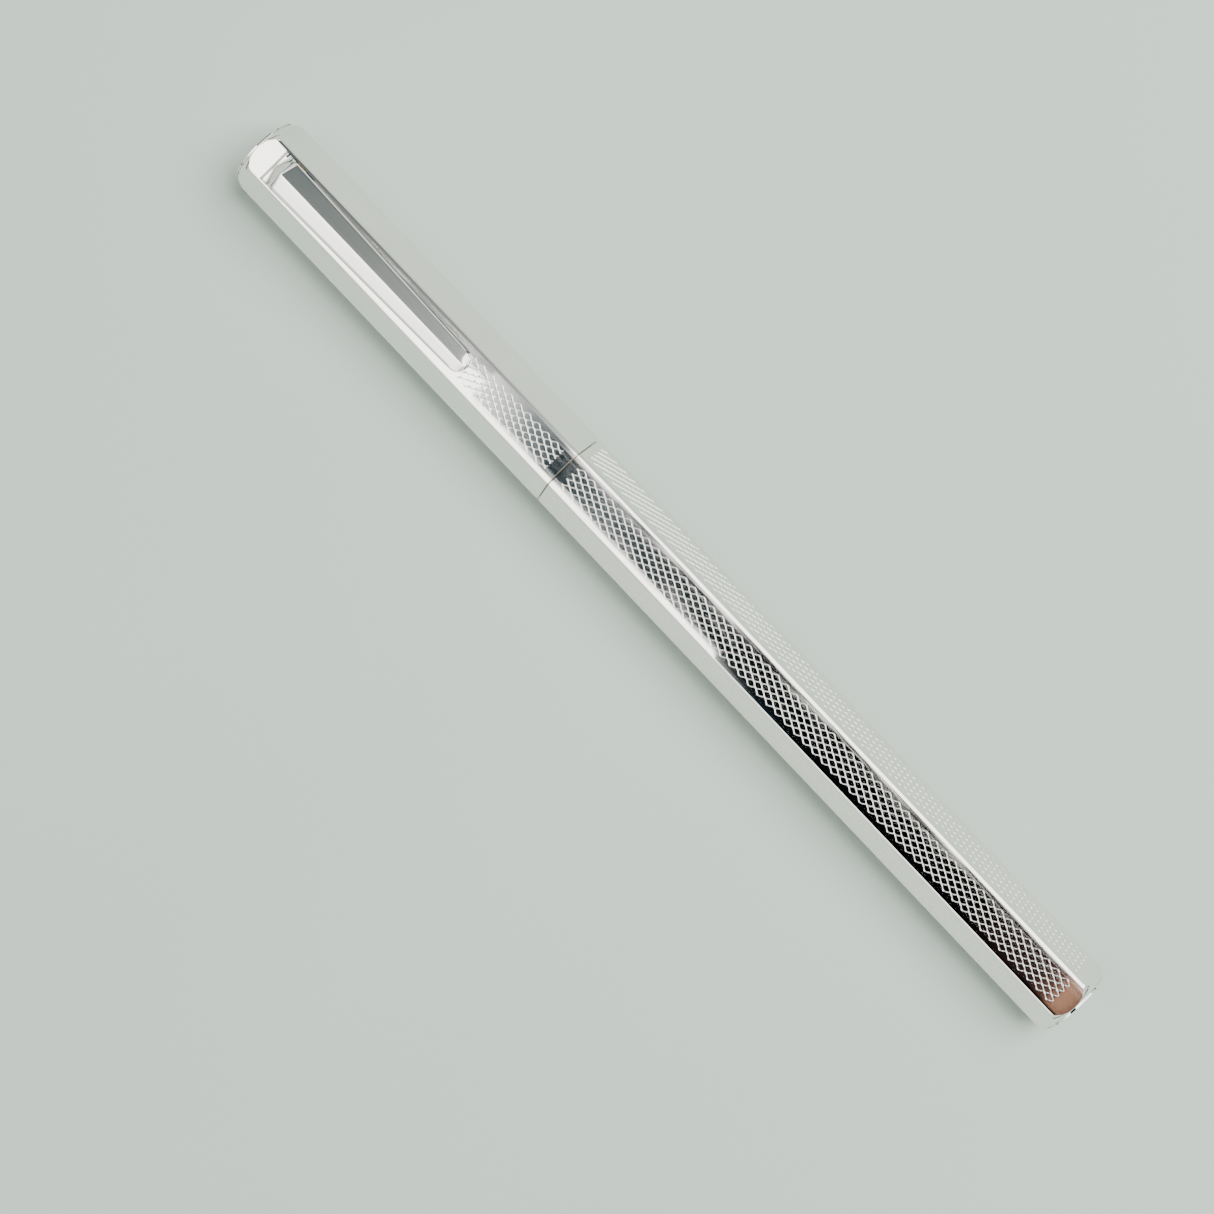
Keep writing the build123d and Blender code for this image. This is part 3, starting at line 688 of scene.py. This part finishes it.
floorValues = {
    "reach": 5.0,
    "colours": ("B0BDB2", "B8C4BA"),
    "mottle": 60.0,
    "grain": 0.8,
    "grainDepth": 0.01,
    "finish": {"Roughness": 0.7, "IOR": 1.5},
}


def makeFloor():
    # a matt painted board, faintly mottled
    v = floorValues
    material, tree, surface, place = newMaterial("mattPaintedBoard", v["finish"])
    mottle = grain(tree, place, v["mottle"], 2.0)
    tree.links.new(tinted(tree, mottle, *v["colours"]), surface.inputs["Base Color"])
    relief(tree, surface, (grain(tree, place, v["grain"]), v["grainDepth"]))
    mesh = bpy.data.meshes.new("floor")
    reach = v["reach"]
    corners = [(-reach, -reach, 0), (reach, -reach, 0), (reach, reach, 0), (-reach, reach, 0)]
    mesh.from_pydata(corners, [], [(0, 1, 2, 3)])
    mesh.materials.append(material)
    floor = bpy.data.objects.new("floor", mesh)
    bpy.context.scene.collection.objects.link(floor)


def glowing(name, stops, source):
    # a light surface that only reflections see, so the cards and the dome don't light the floor
    material = bpy.data.materials.new(name)
    material.use_nodes = True
    material.cycles.emission_sampling = "NONE"
    tree = material.node_tree
    tree.nodes.clear()
    place = addNode(tree, "ShaderNodeTexCoord").outputs["Object"]
    ramp = addNode(tree, "ShaderNodeValToRGB", links={0: source(tree, place)})
    stripes = ramp.color_ramp.elements
    while len(stripes) < len(stops):
        stripes.new(0.5)
    for stripe, (position, hexColour, glow) in zip(stripes, stops):
        stripe.position = position
        stripe.color = [c * glow for c in linear(hexColour)[:3]] + [1.0]
    light = addNode(tree, "ShaderNodeEmission", {"Strength": 1.0}, {"Color": ramp.outputs[0]})
    addNode(tree, "ShaderNodeOutputMaterial", links={"Surface": light.outputs[0]})
    return material


def onlyReflected(name, mesh, material):
    mesh.materials.append(material)
    thing = bpy.data.objects.new(name, mesh)
    bpy.context.scene.collection.objects.link(thing)
    thing.visible_camera = thing.visible_diffuse = thing.visible_shadow = False


def makeCard(name, height, corners, stops):
    # a flag over the pen whose tone changes along it
    xs = [x for x, y in corners]

    def alongX(tree, place):
        x = addNode(tree, "ShaderNodeSeparateXYZ", links={0: place}).outputs[0]
        span = {"From Min": min(xs) * mm, "From Max": max(xs) * mm}
        return addNode(tree, "ShaderNodeMapRange", span, {"Value": x}).outputs[0]

    shares = [((x - min(xs)) / (max(xs) - min(xs)), colour, glow) for x, colour, glow in stops]
    mesh = bpy.data.meshes.new(name)
    points = [(x * mm, y * mm, height * mm) for x, y in corners]
    mesh.from_pydata(points, [], [tuple(range(len(corners)))])
    onlyReflected(name, mesh, glowing(name, shares, alongX))


domeValues = {
    "radius": 1300,
    "patches": 420.0,
    "patchDepth": 0.03,
    "cutBelow": -0.05,
    "stops": (
        (0.0, "101314", 1.0), (0.06, "14181A", 1.0), (0.12, "DDE2E0", 1.4),
        (0.58, "E6EAE8", 1.7), (0.8, "FFFFFF", 3.8), (1.0, "FFFFFF", 5.0),
    ),
}


def makeDome():
    # the white studio round the pen: brightest high up, dark at the floor, with uneven patches
    v = domeValues
    radius = v["radius"] * mm

    def height(tree, place):
        z = addNode(tree, "ShaderNodeSeparateXYZ", links={0: place}).outputs[2]
        patches = between(tree, grain(tree, place, v["patches"], 1.0), -v["patchDepth"], v["patchDepth"])
        level = addNode(tree, "ShaderNodeMath", {"operation": "DIVIDE", 1: radius}, {0: z}).outputs[0]
        return addNode(tree, "ShaderNodeMath", {"operation": "ADD"}, {0: level, 1: patches}).outputs[0]

    mesh = bpy.data.meshes.new("dome")
    work = bmesh.new()
    bmesh.ops.create_icosphere(work, subdivisions=4, radius=radius)
    below = [vert for vert in work.verts if vert.co.z < v["cutBelow"]]
    bmesh.ops.delete(work, geom=below, context="VERTS")
    work.to_mesh(mesh)
    work.free()
    onlyReflected("dome", mesh, glowing("dome", v["stops"], height))


def softbox(name, place, aim, size, power):
    light = bpy.data.lights.new(name, "AREA")
    light.shape = "SQUARE"
    light.size = size * mm
    light.energy = power
    lamp = bpy.data.objects.new(name, light)
    lamp.location = Vector(place) * mm
    lamp.rotation_mode = "QUATERNION"
    lamp.rotation_quaternion = (Vector(place) - Vector(aim)).to_track_quat("Z", "Y")
    lamp.visible_glossy = False
    bpy.context.scene.collection.objects.link(lamp)


def makeCamera(place, aim, upAngle, lens):
    back = (Vector(place) - Vector(aim)).normalized()
    upHint = Vector((math.cos(math.radians(upAngle)), math.sin(math.radians(upAngle)), 0))
    right = upHint.cross(back).normalized()
    up = back.cross(right)
    camera = bpy.data.cameras.new("camera")
    camera.lens = lens
    camera.sensor_width = 36.0
    camera.clip_start = 0.01
    holder = bpy.data.objects.new("camera", camera)
    aimed = Matrix((right, up, back)).transposed().to_4x4()
    holder.matrix_world = Matrix.Translation(Vector(place) * mm) @ aimed
    bpy.context.scene.collection.objects.link(holder)
    bpy.context.scene.camera = holder


# Flags over the pen, in millimetres: (x, y) corners, then stops of (x, colour, glow) along them
cards = {
    "barrelFlag": {
        "height": 150,
        "corners": ((-48, -10.75), (230, -10.75), (230, -18.0), (12, -18.0), (8, -16.4), (-48, -16.2)),
        "stops": (
            (-48, "E8ECEE", 2.0), (-38, "8E999E", 1.0), (-31, "2F3B42", 1.0), (-20, "5E696E", 1.0),
            (-8, "3B4348", 1.0), (10, "15191C", 1.0), (42, "07090B", 1.0), (66, "0C0A0A", 1.0),
            (80, "38272A", 1.0), (83.5, "6B4A42", 1.0), (85.2, "C08E76", 1.1), (87.5, "B98A72", 1.0),
            (88.5, "050505", 1.0), (230, "050505", 1.0),
        ),
    },
    "edgeFlag": {
        "height": 149,
        "corners": ((9, -16.45), (230, -16.6), (230, -75), (9, -75)),
        "stops": ((9, "AEB6B8", 1.0), (17, "1D2C36", 1.0), (27, "050607", 1.0), (230, "050505", 1.0)),
    },
    "clipFlag": {
        "height": 560,
        "corners": ((-320, -30), (-196, -30), (-190, -51.5), (-70, -52), (-70, 900), (-320, 900)),
        "stops": (
            (-320, "566062", 1.0), (-200, "6F797B", 1.0), (-150, "929B9B", 1.0),
            (-110, "B4BBBB", 1.0), (-70, "DDE3E2", 1.3),
        ),
    },
    "sideGlow": {
        "height": 560,
        "corners": ((-50, 480), (700, 480), (700, 1150), (-50, 1150)),
        "stops": ((-50, "E9EDEC", 4.5), (700, "FFFFFF", 7.0)),
    },
}
softboxes = {
    "overheadSoftbox": {"place": (260, 520, 860), "size": 700, "power": 25.0},
    "frontSoftbox": {"place": (-420, -260, 900), "size": 900, "power": 4.0},
}
worldValues = {"colour": "E4E9E8", "strength": 0.36}
cameraValues = {
    "place": (15.1, 33.0, 345.2),
    "aim": (-1.78, -7.62, 4.33),
    "upAngle": 136.2,  # degrees from X, the way that the picture's top points
    "lens": 89.55,
}

makeFloor()
makeDome()
for name, card in cards.items():
    makeCard(name, card["height"], card["corners"], card["stops"])
for name, box in softboxes.items():
    softbox(name, box["place"], (0, 0, 0), box["size"], box["power"])
world = bpy.data.worlds.new("studio")
world.use_nodes = True
background = world.node_tree.nodes["Background"]
background.inputs["Color"].default_value = linear(worldValues["colour"])
background.inputs["Strength"].default_value = worldValues["strength"]
world.cycles_visibility.glossy = False
bpy.context.scene.world = world
makeCamera(**cameraValues)
print("stage made")
